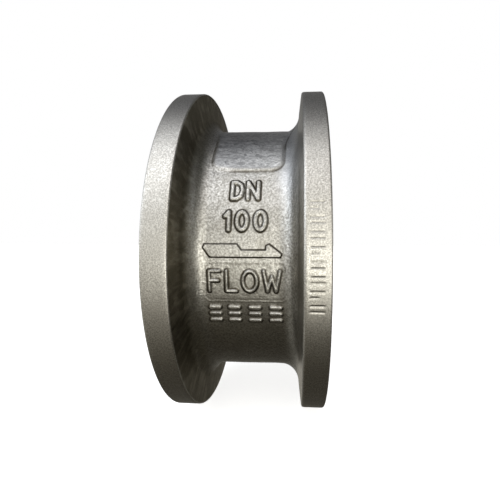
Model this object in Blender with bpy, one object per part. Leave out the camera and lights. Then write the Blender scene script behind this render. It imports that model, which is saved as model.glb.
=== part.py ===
"""Dual-plate wafer check valve, NPS 4, class 150, with a spool-shaped cast body.

Metres, +Z up. The origin is the centre of the bore at mid length. Flow runs along +X, the hinge
pin stands upright just downstream of the seat, and the valve is modelled closed, at rest.
Run it with: blender --background --python part.py
"""

import math

import bmesh
import bpy
from mathutils import Matrix, Vector

# ---------------------------------------------------------------- driving dimensions
FACE_TO_FACE = 0.073
OUTER_RADIUS = 0.0875
NECK_RADIUS = 0.0667
RIM_WIDTH = 0.011
PORT_RADIUS = 0.050
CAVITY_RADIUS = 0.058
SEAT_WALL = 0.011
PIN_RADIUS = 0.004
PLATE_RADIUS = 0.0555
PLATE_THICKNESS = 0.006
OPEN_ANGLE = math.radians(82)

# Clearances
GAP = 0.0003
THRUST_GAP = 0.0002
HUB_CLEARANCE = 0.00015

# ---------------------------------------------------------------- body details
HALF_LENGTH = FACE_TO_FACE / 2
EDGE_CHAMFER = 0.0008
RIM_EDGE_ROUND = 0.0010
FLANGE_DRAFT = 0.0012
NECK_FILLET = 0.009
MOUTH_CHAMFER = 0.001
BODY_STEPS = 72
FILLET_STEPS = 5

SEAT_X = -HALF_LENGTH + SEAT_WALL
BAR_HALF_WIDTH = 0.0062
BAR_DEPTH = 0.0085
BAR_REACH = 0.054

# ---------------------------------------------------------------- seal, a ring crossed by a bar
SEAL_INNER = 0.0517
SEAL_OUTER = 0.0559
SEAL_BAR_HALF_WIDTH = 0.0041
SEAL_DEPTH = 0.0022
SEAL_PROUD = 0.0005
SEAL_BAR_REACH = 0.0535

# ---------------------------------------------------------------- plates and their hinge
PLATE_FRONT_X = SEAT_X + SEAL_PROUD + GAP
HUB_RADIUS = 0.007
HUB_TO_PLATE = 0.0004
PLATE_BACK_FROM_PIN = -(HUB_RADIUS + HUB_TO_PLATE)
PIN_X = PLATE_FRONT_X + PLATE_THICKNESS - PLATE_BACK_FROM_PIN
PLATE_EDGE_Y = 0.001
PLATE_EDGE_BEVEL = 0.0006
STOP_FROM_HINGE = 0.022
STOP_X = PIN_X + STOP_FROM_HINGE
# The ribs meet the stop pin when the plates have turned through OPEN_ANGLE.
RIB_TOP_FROM_PIN = -(PIN_RADIUS + HUB_CLEARANCE - math.cos(OPEN_ANGLE) * STOP_FROM_HINGE)
RIB_LAND_END = 0.028
RIB_FOOT_END = 0.035
RIB_FOOT_DEPTH = 0.0016
PLATE_RIM_STEPS = 72

# ---------------------------------------------------------------- stack along the hinge pin
WASHER_THICKNESS = 0.0016
LUG_LENGTH = 0.0118
BOSS_FACE_Z = 0.052
WASHER_PITCH = WASHER_THICKNESS + 2 * THRUST_GAP
OUTER_LUG_TOP = BOSS_FACE_Z - WASHER_PITCH
OUTER_LUG_BOTTOM = OUTER_LUG_TOP - LUG_LENGTH
INNER_LUG_TOP = OUTER_LUG_BOTTOM - WASHER_PITCH
INNER_LUG_BOTTOM = INNER_LUG_TOP - LUG_LENGTH
WASHER_INNER = 0.0043
WASHER_STEPS = 24

# ---------------------------------------------------------------- springs
WIRE_RADIUS = 0.0009
COIL_RADIUS = 0.0057
COIL_TURNS = 8
COIL_STEPS_PER_TURN = 14
SPRING_TOP_Z = INNER_LUG_BOTTOM - WASHER_PITCH - THRUST_GAP - WIRE_RADIUS + 0.0001
SPRING_BOTTOM_Z = WASHER_THICKNESS / 2 + THRUST_GAP + WIRE_RADIUS
LEG_REACH = 0.030
LEG_TIP_FROM_PIN = PLATE_BACK_FROM_PIN + WIRE_RADIUS + GAP

# ---------------------------------------------------------------- pin holes, plugs and bosses
PIN_HALF_LENGTH = 0.058
PIN_CHAMFER = 0.0006
PIN_STEPS = 24
STOP_BOSS_RADIUS = 0.0065
PLUG_SEAT_Z = PIN_HALF_LENGTH + GAP
PLUG_RADIUS = 0.0066
PLUG_LENGTH = 0.0062
PLUG_STEPS = 30
GASKET_THICKNESS = 0.001
GASKET_INNER = 0.003
HEX_CORNER_RADIUS = 0.00367
HEX_DEPTH = 0.0035

PAD_HEIGHT = 0.00085
PAD_HALF_WIDTH = 0.018
PAD_HALF_ANGLE = math.radians(58.6)
PAD_CORNER = 0.006
PAD_CORNER_ACROSS = 0.0035
PAD_STEPS = 80

# Flow arrow on the -Y side of the neck, a little below mid height
ARROW_HEIGHT = 0.0007
ARROW_TAIL_X = -0.0170
ARROW_TIP_X = 0.0167
ARROW_CENTRE_Z = -0.0010
ARROW_HALF_WIDTH = 0.0026
ARROW_TAIL_LENGTH = 0.0146
ARROW_STEP_LENGTH = 0.0018
ARROW_HEAD_LENGTH = 0.0065
ARROW_BARB_LENGTH = 0.0014
ARROW_TAIL_CUT = 0.0030

STEEL_CAST = ((0.50, 0.49, 0.46), 0.42, 1.0)
STEEL_MACHINED = ((0.62, 0.61, 0.59), 0.28, 1.0)
SPRING_STEEL = ((0.56, 0.56, 0.57), 0.22, 1.0)
BEARING_PTFE = ((0.80, 0.79, 0.75), 0.45, 0.0)
RUBBER_BLACK = ((0.025, 0.025, 0.027), 0.60, 0.0)


# ---------------------------------------------------------------- helpers
def clear_scene():
    for obj in list(bpy.data.objects):
        bpy.data.objects.remove(obj)


def material(name, look):
    """A Principled material from (colour, roughness, metallic)."""
    colour, roughness, metallic = look
    made = bpy.data.materials.new(name)
    made.use_nodes = True
    shader = made.node_tree.nodes["Principled BSDF"]
    shader.inputs["Base Color"].default_value = (*colour, 1)
    shader.inputs["Roughness"].default_value = roughness
    shader.inputs["Metallic"].default_value = metallic
    made.diffuse_color = (*colour, 1)
    return made


def object_of(name, bm, finish=None, origin=(0, 0, 0)):
    """An object from a bmesh that is given around its own origin."""
    bmesh.ops.remove_doubles(bm, verts=bm.verts, dist=1e-7)
    bmesh.ops.recalc_face_normals(bm, faces=bm.faces)
    mesh = bpy.data.meshes.new(name)
    bm.to_mesh(mesh)
    bm.free()
    mesh.shade_smooth()
    mesh.set_sharp_from_angle(angle=math.radians(35))
    obj = bpy.data.objects.new(name, mesh)
    obj.location = origin
    if finish:
        mesh.materials.append(finish)
    bpy.context.scene.collection.objects.link(obj)
    return obj


def turned(outline, steps, closed=True, start=0.0):
    """A bmesh turned about X. The outline is (along X, radius) points, closed or ending on the axis."""
    bm = bmesh.new()
    turn = Matrix.Rotation(start, 4, "X")
    verts = [bm.verts.new(turn @ Vector((x, 0, r))) for x, r in outline]
    pairs = list(zip(verts, verts[1:] + verts[:1])) if closed else list(zip(verts, verts[1:]))
    edges = [bm.edges.new(pair) for pair in pairs]
    bmesh.ops.spin(
        bm, geom=verts + edges, cent=(0, 0, 0), axis=(1, 0, 0), angle=math.tau, steps=steps, use_merge=True
    )
    return bm


def upright(bm):
    """Turns a bmesh made about X so that it is about Z."""
    bmesh.ops.rotate(bm, verts=bm.verts, cent=(0, 0, 0), matrix=Matrix.Rotation(-math.pi / 2, 3, "Y"))
    return bm


def rod(radius, low, high, steps, chamfer=0.0):
    """A bmesh cylinder about Z from low to high, with both ends chamfered."""
    outline = [(low, 0), (low, radius - chamfer)]
    if chamfer:
        outline += [(low + chamfer, radius), (high - chamfer, radius)]
    outline += [(high, radius - chamfer), (high, 0)]
    return upright(turned(outline, steps, closed=False))


def washer(inner, outer, low, high, steps):
    """A bmesh ring about Z from low to high."""
    return upright(turned([(low, inner), (low, outer), (high, outer), (high, inner)], steps))


def prism(outline, direction):
    """A bmesh from a flat outline of points, extruded along the vector direction."""
    bm = bmesh.new()
    face = bm.faces.new([bm.verts.new(point) for point in outline])
    made = bmesh.ops.extrude_face_region(bm, geom=[face])
    moved = [item for item in made["geom"] if isinstance(item, bmesh.types.BMVert)]
    bmesh.ops.translate(bm, verts=moved, vec=direction)
    return bm


def combine(obj, operation, bm, origin=(0, 0, 0)):
    """Joins or cuts a bmesh into obj with an exact Boolean, applied at once so that no helper is left."""
    tool = object_of(obj.name + "_tool", bm, origin=origin)
    change = obj.modifiers.new(operation.title(), "BOOLEAN")
    change.operation = operation
    change.object = tool
    change.solver = "EXACT"
    bpy.context.view_layer.update()
    graph = bpy.context.evaluated_depsgraph_get()
    mesh = bpy.data.meshes.new_from_object(obj.evaluated_get(graph))
    joined = bmesh.new()
    joined.from_mesh(mesh)
    bmesh.ops.remove_doubles(joined, verts=joined.verts, dist=2e-6)
    joined.to_mesh(mesh)
    joined.free()
    obj.modifiers.clear()
    old = obj.data
    obj.data = mesh
    mesh.name = old.name
    bpy.data.meshes.remove(old)
    tool_mesh = tool.data
    bpy.data.objects.remove(tool)
    bpy.data.meshes.remove(tool_mesh)


def shade(obj):
    obj.data.shade_smooth()
    obj.data.set_sharp_from_angle(angle=math.radians(35))


# ---------------------------------------------------------------- body
def half_spool_outline():
    """Outside of the upstream half, from the gasket face to the neck, as (x, radius) points."""
    rim_x = -HALF_LENGTH + RIM_WIDTH
    fillet_x = rim_x + FLANGE_DRAFT
    points = [
        (-HALF_LENGTH, OUTER_RADIUS - EDGE_CHAMFER),
        (-HALF_LENGTH + EDGE_CHAMFER, OUTER_RADIUS),
        (rim_x - RIM_EDGE_ROUND, OUTER_RADIUS),
        (rim_x, OUTER_RADIUS - RIM_EDGE_ROUND),
    ]
    for step in range(FILLET_STEPS + 1):
        angle = math.radians(180 + 90 * step / FILLET_STEPS)
        points.append(
            (
                fillet_x + NECK_FILLET * (1 + math.cos(angle)),
                NECK_RADIUS + NECK_FILLET * (1 + math.sin(angle)),
            )
        )
    return points


def body_outline():
    left = half_spool_outline()
    right = [(-x, r) for x, r in reversed(left)]
    inside = [
        (HALF_LENGTH, CAVITY_RADIUS + MOUTH_CHAMFER),
        (HALF_LENGTH - MOUTH_CHAMFER, CAVITY_RADIUS),
        (SEAT_X, CAVITY_RADIUS),
        (SEAT_X, PORT_RADIUS),
        (-HALF_LENGTH + MOUTH_CHAMFER, PORT_RADIUS),
        (-HALF_LENGTH, PORT_RADIUS + MOUTH_CHAMFER),
    ]
    # Flats of the turned polygon, not its corners, sit at the true radius.
    flat = 1 / math.cos(math.pi / BODY_STEPS)
    return [(x, r * flat) for x, r in left + right + inside]


def seat_bar():
    """The upright bar across the port, with a rounded upstream nose."""
    nose = BAR_HALF_WIDTH / 2
    outline = [Vector((SEAT_X, BAR_HALF_WIDTH, -BAR_REACH))]
    for step in range(9):
        angle = math.radians(90 + 180 * step / 8)
        x = SEAT_X - BAR_DEPTH + nose + nose * math.cos(angle)
        outline.append(Vector((x, BAR_HALF_WIDTH * math.sin(angle), -BAR_REACH)))
    outline.append(Vector((SEAT_X, -BAR_HALF_WIDTH, -BAR_REACH)))
    return prism(outline, Vector((0, 0, 2 * BAR_REACH)))


def seal_ring(margin):
    depth = SEAL_DEPTH + margin
    proud = SEAL_PROUD if margin == 0 else 0.002
    low, high = SEAT_X - depth, SEAT_X + proud
    inner, outer = SEAL_INNER - margin, SEAL_OUTER + margin
    return turned([(low, inner), (low, outer), (high, outer), (high, inner)], BODY_STEPS)


def seal_bar(margin):
    depth = SEAL_DEPTH + margin
    proud = SEAL_PROUD if margin == 0 else 0.002
    width = SEAL_BAR_HALF_WIDTH + margin
    low, high = SEAT_X - depth, SEAT_X + proud
    corners = [(low, -width), (high, -width), (high, width), (low, width)]
    return prism(
        [Vector((x, y, -SEAL_BAR_REACH)) for x, y in corners], Vector((0, 0, 2 * SEAL_BAR_REACH))
    )


def pin_pad():
    """The low pad on top of the neck that the two pins' plugs sit in, with rounded corners."""
    bottom, top = NECK_RADIUS - 0.004, NECK_RADIUS + PAD_HEIGHT
    centre = (PIN_X + STOP_X) / 2
    low, high = -PAD_HALF_WIDTH - 0.002, PAD_HALF_WIDTH + 0.002
    section = [(low, bottom), (low, top), (high, top), (high, bottom)]
    ring = turned(section, PAD_STEPS, start=math.pi / PAD_STEPS)
    pad = object_of("pin_pad", ring, origin=(centre, 0, 0))
    reach = top * math.sin(PAD_HALF_ANGLE)
    outline = []
    for x, y, start in ((1, 1, 0), (-1, 1, 90), (-1, -1, 180), (1, -1, 270)):
        for step in range(5):
            angle = math.radians(start + 22.5 * step)
            along = x * (PAD_HALF_WIDTH - PAD_CORNER) + PAD_CORNER * math.cos(angle)
            across = y * (reach - PAD_CORNER_ACROSS) + PAD_CORNER_ACROSS * math.sin(angle)
            outline.append(Vector((along, across, 0.02)))
    combine(pad, "INTERSECT", prism(outline, Vector((0, 0, 0.08))), (centre, 0, 0))
    bm = bmesh.new()
    bm.from_mesh(pad.data)
    bmesh.ops.translate(bm, verts=bm.verts, vec=pad.location)
    bpy.data.objects.remove(pad)
    return bm


def flow_arrow():
    """The raised arrow on the side of the neck: a broad tail, a slim shaft and a one-sided head."""
    middle, top, bottom = ARROW_CENTRE_Z, ARROW_CENTRE_Z + ARROW_HALF_WIDTH, ARROW_CENTRE_Z - ARROW_HALF_WIDTH
    outline = [
        (ARROW_TAIL_X, top),
        (ARROW_TAIL_X + ARROW_TAIL_LENGTH, top),
        (ARROW_TAIL_X + ARROW_TAIL_LENGTH + ARROW_STEP_LENGTH, middle),
        (ARROW_TIP_X - ARROW_HEAD_LENGTH, middle),
        (ARROW_TIP_X - ARROW_HEAD_LENGTH + ARROW_BARB_LENGTH, top),
        (ARROW_TIP_X, bottom),
        (ARROW_TAIL_X + ARROW_TAIL_CUT, bottom),
    ]
    inside = -(NECK_RADIUS - 0.003)
    raised = 0.003 + ARROW_HEIGHT
    return prism([Vector((x, inside, z)) for x, z in outline], Vector((0, -raised, 0)))


def pin_bore():
    """The space of one pin hole, opened out at both ends for the plugs."""
    bore, seat, end = PIN_RADIUS + GAP, PLUG_SEAT_Z, NECK_RADIUS + 0.01
    wide = PLUG_RADIUS + GAP
    half = [(seat, bore), (seat, wide), (end, wide), (end, 0)]
    outline = [(-z, r) for z, r in reversed(half)] + half
    return upright(turned(outline, PLUG_STEPS, closed=False))


def make_body(finish):
    body = object_of("body", turned(body_outline(), BODY_STEPS, start=math.pi / BODY_STEPS), finish)
    combine(body, "UNION", seat_bar())
    for end in (1, -1):
        low, high = sorted((end * BOSS_FACE_Z, end * (CAVITY_RADIUS + 0.003)))
        combine(body, "UNION", rod(HUB_RADIUS, low, high, PIN_STEPS), (PIN_X, 0, 0))
        combine(body, "UNION", rod(STOP_BOSS_RADIUS, low, high, PIN_STEPS), (STOP_X, 0, 0))
    combine(body, "UNION", pin_pad())
    combine(body, "UNION", flow_arrow())
    combine(body, "DIFFERENCE", seal_ring(GAP))
    combine(body, "DIFFERENCE", seal_bar(GAP))
    for x in (PIN_X, STOP_X):
        combine(body, "DIFFERENCE", pin_bore(), (x, 0, 0))
    shade(body)
    return body


def make_seal(finish):
    seal = object_of("seat_seal", seal_ring(0), finish)
    combine(seal, "UNION", seal_bar(0))
    shade(seal)


# ---------------------------------------------------------------- plates
def plate_slab():
    """The plate's thickness on the +Y side of the hinge, in hinge coordinates, before its rim is turned."""
    reach = PLATE_RADIUS + 0.004
    front = PLATE_FRONT_X - PIN_X - 0.001
    corners = [(PLATE_EDGE_Y, -reach), (reach, -reach), (reach, reach), (PLATE_EDGE_Y, reach)]
    return prism([Vector((front, y, z)) for y, z in corners], Vector((PLATE_THICKNESS + 0.001, 0, 0)))


def plate_envelope():
    """The turned space that holds the whole plate, with a chamfer round its sealing face."""
    front, back = PLATE_FRONT_X - PIN_X, 2 * HUB_RADIUS
    edge = [(front, PLATE_RADIUS - PLATE_EDGE_BEVEL), (front + PLATE_EDGE_BEVEL, PLATE_RADIUS)]
    return turned([(front, 0), *edge, (back, PLATE_RADIUS), (back, 0)], PLATE_RIM_STEPS, closed=False)


def lug(low, high):
    """One hinge lug with the rib that carries it out over the plate, as a prism along Z."""
    foot = PLATE_BACK_FROM_PIN - RIB_FOOT_DEPTH
    start = math.acos(RIB_TOP_FROM_PIN / HUB_RADIUS)
    finish = -math.pi
    outline = [
        Vector((foot, 2 * PLATE_EDGE_Y, low)),
        Vector((foot, RIB_FOOT_END, low)),
        Vector((PLATE_BACK_FROM_PIN, RIB_FOOT_END, low)),
        Vector((RIB_TOP_FROM_PIN, RIB_LAND_END, low)),
    ]
    for step in range(19):
        angle = start + (finish - start) * step / 18
        outline.append(Vector((HUB_RADIUS * math.cos(angle), HUB_RADIUS * math.sin(angle), low)))
    outline.append(Vector((-HUB_RADIUS, 2 * PLATE_EDGE_Y, low)))
    return prism(outline, Vector((0, 0, high - low)))


def make_plate(name, finish, turn):
    """One plate, its origin on the hinge axis. The -Y plate is the +Y one turned half round about X."""
    plate = object_of(name, plate_slab(), finish)
    combine(plate, "UNION", lug(OUTER_LUG_BOTTOM, OUTER_LUG_TOP))
    combine(plate, "UNION", lug(-INNER_LUG_TOP, -INNER_LUG_BOTTOM))
    combine(plate, "INTERSECT", plate_envelope())
    hole = rod(PIN_RADIUS + HUB_CLEARANCE, -0.06, 0.06, PIN_STEPS)
    combine(plate, "DIFFERENCE", hole)
    shade(plate)
    plate.location = (PIN_X, 0, 0)
    plate.rotation_euler = (turn, 0, 0)
    return plate


# ---------------------------------------------------------------- pins, washers, plugs
def make_pins(finish):
    for name, x in (("hinge_pin", PIN_X), ("stop_pin", STOP_X)):
        pin = rod(PIN_RADIUS, -PIN_HALF_LENGTH, PIN_HALF_LENGTH, PIN_STEPS, PIN_CHAMFER)
        object_of(name, pin, finish, (x, 0, 0))


def make_bearings(finish):
    """The thrust washers between body and lug, lug and lug, lug and spring, and spring and spring."""
    tops = {
        "body_bearing": BOSS_FACE_Z - THRUST_GAP,
        "plate_bearing": OUTER_LUG_BOTTOM - THRUST_GAP,
        "spring_bearing": INNER_LUG_BOTTOM - THRUST_GAP,
    }
    for name, top in tops.items():
        for end, where in ((1, "upper"), (-1, "lower")):
            low, high = sorted((end * top, end * (top - WASHER_THICKNESS)))
            ring = washer(WASHER_INNER, HUB_RADIUS, low, high, WASHER_STEPS)
            object_of(f"{name}_{where}", ring, finish, (PIN_X, 0, 0))
    half = WASHER_THICKNESS / 2
    ring = washer(WASHER_INNER, HUB_RADIUS, -half, half, WASHER_STEPS)
    object_of("spring_bearing_middle", ring, finish, (PIN_X, 0, 0))


def make_plugs(plug_finish, gasket_finish):
    """Each pin hole's plug with a hexagon socket, on its gasket, at both ends of both pins."""
    gasket_low = PLUG_SEAT_Z + GAP
    plug_low = gasket_low + GASKET_THICKNESS + GAP
    plug_high = plug_low + PLUG_LENGTH
    for pin, x in (("hinge", PIN_X), ("stop", STOP_X)):
        for turn, where in ((0, "upper"), (math.pi, "lower")):
            name = f"{pin}_plug_{where}"
            shank = rod(PLUG_RADIUS, plug_low, plug_high, PLUG_STEPS, PIN_CHAMFER)
            plug = object_of(name, shank, plug_finish)
            combine(plug, "DIFFERENCE", rod(HEX_CORNER_RADIUS, plug_high - HEX_DEPTH, plug_high + 0.002, 6))
            shade(plug)
            ring = washer(GASKET_INNER, PLUG_RADIUS, gasket_low, gasket_low + GASKET_THICKNESS, WASHER_STEPS)
            gasket = object_of(f"{pin}_plug_gasket_{where}", ring, gasket_finish)
            for piece in (plug, gasket):
                piece.location = (x, 0, 0)
                piece.rotation_euler = (turn, 0, 0)


# ---------------------------------------------------------------- springs
def spring_route():
    """From the tip of the leg on the +Y plate, round the coil, to the tip of the leg on the -Y plate."""
    route = [Vector((LEG_TIP_FROM_PIN, LEG_REACH, SPRING_TOP_Z))]
    count = COIL_TURNS * COIL_STEPS_PER_TURN
    for step in range(count + 1):
        share = step / count
        angle = math.pi + math.tau * COIL_TURNS * share
        height = SPRING_TOP_Z + (SPRING_BOTTOM_Z - SPRING_TOP_Z) * share
        route.append(Vector((COIL_RADIUS * math.cos(angle), COIL_RADIUS * math.sin(angle), height)))
    route.append(Vector((LEG_TIP_FROM_PIN, -LEG_REACH, SPRING_BOTTOM_Z)))
    return route


def make_spring(name, finish, turn):
    curve = bpy.data.curves.new(name, "CURVE")
    curve.dimensions = "3D"
    curve.bevel_depth = WIRE_RADIUS
    curve.bevel_resolution = 1
    curve.use_fill_caps = True
    route = spring_route()
    line = curve.splines.new("POLY")
    line.points.add(len(route) - 1)
    for point, place in zip(line.points, route):
        point.co = (*place, 1)
    curve.materials.append(finish)
    spring = bpy.data.objects.new(name, curve)
    spring.location = (PIN_X, 0, 0)
    spring.rotation_euler = (turn, 0, 0)
    bpy.context.scene.collection.objects.link(spring)


def main():
    clear_scene()
    cast = material("cast_stainless", STEEL_CAST)
    machined = material("machined_stainless", STEEL_MACHINED)
    wire = material("spring_wire", SPRING_STEEL)
    ptfe = material("bearing_ptfe", BEARING_PTFE)
    rubber = material("seal_rubber", RUBBER_BLACK)
    make_body(cast)
    make_seal(rubber)
    make_plate("plate_rear", cast, 0)
    make_plate("plate_front", cast, math.pi)
    make_pins(machined)
    make_bearings(ptfe)
    make_plugs(machined, ptfe)
    make_spring("torsion_spring_upper", wire, 0)
    make_spring("torsion_spring_lower", wire, math.pi)


main()
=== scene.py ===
"""Looks of the dual-plate wafer check valve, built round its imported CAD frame.

Metres, +Z up, the bore along X with flow towards +X. Sizes written with MM are in millimetres.
"""

import math

import bmesh
import bpy
import numpy as np
from mathutils import Matrix, Vector, noise


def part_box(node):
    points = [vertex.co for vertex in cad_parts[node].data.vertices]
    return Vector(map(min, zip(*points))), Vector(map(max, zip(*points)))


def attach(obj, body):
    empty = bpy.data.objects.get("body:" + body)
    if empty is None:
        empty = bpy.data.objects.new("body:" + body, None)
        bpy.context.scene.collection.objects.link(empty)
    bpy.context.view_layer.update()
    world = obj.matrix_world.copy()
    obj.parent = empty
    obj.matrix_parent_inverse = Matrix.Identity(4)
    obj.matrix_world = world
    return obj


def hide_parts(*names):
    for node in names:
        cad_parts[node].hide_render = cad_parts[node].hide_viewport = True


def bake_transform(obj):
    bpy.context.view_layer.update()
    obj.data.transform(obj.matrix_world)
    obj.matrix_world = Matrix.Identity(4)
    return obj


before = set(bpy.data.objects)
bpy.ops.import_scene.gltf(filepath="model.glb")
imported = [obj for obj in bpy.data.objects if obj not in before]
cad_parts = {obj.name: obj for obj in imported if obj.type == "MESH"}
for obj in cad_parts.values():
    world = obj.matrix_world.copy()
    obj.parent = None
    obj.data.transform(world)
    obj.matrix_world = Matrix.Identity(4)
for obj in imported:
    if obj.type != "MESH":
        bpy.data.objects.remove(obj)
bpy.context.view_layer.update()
MM = 0.001

# ---- sizes that come from the frame
_, BODY_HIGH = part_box("body")
PIN_LOW, PIN_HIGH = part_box("hinge_pin")
STOP_LOW, STOP_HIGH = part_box("stop_pin")
SEAL_LOW, SEAL_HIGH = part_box("seat_seal")
PLATE_LOW, PLATE_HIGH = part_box("plate_rear")

HALF_LENGTH = BODY_HIGH.x
OUTER_RADIUS = BODY_HIGH.z
PIN_X = (PIN_LOW.x + PIN_HIGH.x) / 2
STOP_X = (STOP_LOW.x + STOP_HIGH.x) / 2
PIN_RADIUS = (PIN_HIGH.x - PIN_LOW.x) / 2
PIN_HALF_LENGTH = PIN_HIGH.z
PLATE_FRONT_X = PLATE_LOW.x
PLATE_RADIUS = PLATE_HIGH.z

# ---- body
RIM_WIDTH = 11 * MM
NECK_RADIUS = 66.7 * MM
NECK_FILLET = 9 * MM
FLANGE_DRAFT = 1.2 * MM
EDGE_ROUND = 0.8 * MM
INLET_LIP_ROUND = 0.6 * MM
OUTLET_LIP_ROUND = 1.3 * MM
PORT_RADIUS = 50 * MM
CAVITY_RADIUS = 58 * MM
SEAT_X = -HALF_LENGTH + 11 * MM
MOUTH_CHAMFER = 1 * MM
BAR_HALF_WIDTH = 6.2 * MM
BAR_DEPTH = 8.5 * MM
HUB_RADIUS = 7 * MM
STOP_BOSS_RADIUS = 6.5 * MM
BOSS_FACE_Z = 52 * MM
BAR_NOSE = 0.55 * BAR_HALF_WIDTH
BAR_REACH = 54 * MM
PLUG_SEAT_Z = PIN_HALF_LENGTH + 0.3 * MM
PLUG_BORE_RADIUS = 6.9 * MM
PLUG_MOUTH_LOW, PLUG_MOUTH_HIGH, PLUG_MOUTH_FLARE = 66.6 * MM, 68.6 * MM, 1.6 * MM
BEYOND_NECK = 72 * MM
SEAL_INNER, SEAL_OUTER = 51.7 * MM, 55.9 * MM
SEAL_BAR_HALF_WIDTH, SEAL_BAR_REACH = 4.1 * MM, 53.5 * MM
SEAL_ROUND = 0.35 * MM
SEAL_GAP = 0.3 * MM

# How finely the body's skin is divided: degrees round the bore, and millimetres along it.
FINE_FROM, FINE_TO, FINE_STEP = -33.0, 39.0, 0.27
COARSE_STEP = 1.5
NECK_STEP = 0.30 * MM
SAME_RADIUS = 1e-6

# Relief on the neck and on the outlet rim. Places are (along X, along the arc above mid height).
RELIEF = 0.8 * MM
STROKE_FLAT = 0.45 * MM
STROKE_FOOT = 1.35 * MM
SLIMMER = 0.25 * MM
# Half width of the band of painted shade and dirt round the marks' feet.
DIRT_AND_SHADE_HALF_WIDTH = 0.65 * MM
PAD_CENTRE_X = (PIN_X + STOP_X) / 2
PAD_HEIGHT = 0.6 * MM
PAD_HALF_WIDTH = 17.8 * MM
PAD_HALF_ANGLE = math.radians(58.6)
PAD_CORNER = 6.5 * MM
PAD_EDGE = 1.3 * MM
# Each word on the neck: centre, foot, head, gap between its letters, and how much wider than drawn.
WORDS = (
    ("DN", 0.5 * MM, 22 * MM, 30.2 * MM, 2.4 * MM, 0.85),
    ("100", 1.0 * MM, 7.9 * MM, 15.8 * MM, 3.6 * MM, 0.84),
)
SLIM_WORD = ("FLOW", 0.8 * MM, -18.7 * MM, -9.8 * MM, 2.9 * MM, 0.86)
INSERT_CENTRE, INSERT_HALF_SIZE, INSERT_CORNER = (1.0 * MM, -14.8 * MM), (17.9 * MM, 8.7 * MM), 3 * MM
BAR_CENTRES = (-12.6 * MM, -4.1 * MM, 5.0 * MM, 14.2 * MM)
BAR_RISES = (-26.6 * MM, -29.9 * MM, -33.4 * MM)
BAR_HALF_SIZE, BAR_CORNER = (2.7 * MM, 0.8 * MM), 0.7 * MM
# The pairs of strokes on the outlet rim.
PAIRS, FIRST_PAIR, PAIR_PITCH, PAIR_GAP = 8, 18.0 * MM, 5.6 * MM, 2.3 * MM
STROKE_START, STROKE_END, SHORT_STROKE_END = 28.2 * MM, 33.4 * MM, 31.2 * MM
STROKE_DEPTH = 0.2 * MM
# The casting's waviness: how high, how many waves to a metre, and where in the noise.
WAVES = ((0.16 * MM, 62.0, (0.0, 0.0, 0.0)), (0.07 * MM, 210.0, (7.0, 3.0, 1.0)))

# ---- plates and springs
PLATE_BACK = -7.4 * MM
PLATE_EDGE_Y = 1 * MM
RIB_TOP = -1.1 * MM
RIB_LAND_END = 28 * MM
RIB_FOOT_END = 35 * MM
LUGS = ((38.2 * MM, 50 * MM), (-36.2 * MM, -24.4 * MM))
LUG_BORE_RADIUS, LUG_BORE_REACH = 4.15 * MM, 60 * MM
PLATE_EDGE_ROUND = 0.7 * MM
WIRE_RADIUS = 0.9 * MM
WIRE_SIDES = 12
COIL_RADIUS = 5.7 * MM
HALF_COIL_TURNS = 4
STEPS_PER_TURN = 28
LEG_STEPS = 14
LEG_REACH = 30 * MM

# ---- pins, washers, plugs
PIN_EDGE = 0.6 * MM
PLUG_EDGE = 0.7 * MM
WASHER_EDGE = 0.15 * MM
WASHER_BORE_RADIUS = 4.3 * MM
GASKET_BORE_RADIUS = 3.0 * MM
# A plug's hexagon socket, the chamfer at its mouth and the drill point under it:
# depth, radius there, depth where the straight part starts, its radius, number of sides.
SOCKET_CUTS = (
    (3.4 * MM, 3.67 * MM, 3.4 * MM, 3.67 * MM, 6),
    (0.5 * MM, 3.15 * MM, 0.0, 4.1 * MM, 56),
    (4.6 * MM, 0.0, 3.3 * MM, 3 * MM, 32),
)

GLYPHS = {
    "D": [[(0, 0), (0, 1), (0.3, 1), (0.55, 0.85), (0.66, 0.5), (0.55, 0.15), (0.3, 0), (0, 0)]],
    "N": [[(0, 0), (0, 1), (0.66, 0), (0.66, 1)]],
    "1": [[(0, 0.76), (0.24, 1), (0.24, 0)]],
    "F": [[(0, 0), (0, 1), (0.6, 1)], [(0, 0.52), (0.5, 0.52)]],
    "L": [[(0, 1), (0, 0), (0.55, 0)]],
    "W": [[(0, 1), (0.22, 0), (0.46, 0.72), (0.7, 0), (0.92, 1)]],
}


def ellipse_stroke(width):
    """A closed upright oval stroke of unit height."""
    half = width / 2
    turns = [math.tau * step / 20 for step in range(21)]
    return [[(half + half * math.cos(turn), 0.5 + 0.5 * math.sin(turn)) for turn in turns]]


GLYPHS["0"] = ellipse_stroke(0.66)
GLYPHS["O"] = ellipse_stroke(0.8)


# ---- mesh helpers
def new_object(name, mesh):
    obj = bpy.data.objects.new(name, mesh)
    bpy.context.scene.collection.objects.link(obj)
    return obj


def smooth(obj, angle=35):
    obj.data.shade_smooth()
    obj.data.set_sharp_from_angle(angle=math.radians(angle))
    return obj


def from_bmesh(name, bm, finishes, angle=35, material_index=0):
    bmesh.ops.remove_doubles(bm, verts=bm.verts, dist=1e-7)
    bmesh.ops.recalc_face_normals(bm, faces=bm.faces)
    for face in bm.faces:
        face.material_index = material_index
    mesh = bpy.data.meshes.new(name)
    bm.to_mesh(mesh)
    bm.free()
    for finish in finishes:
        mesh.materials.append(finish)
    return smooth(new_object(name, mesh), angle)


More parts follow.
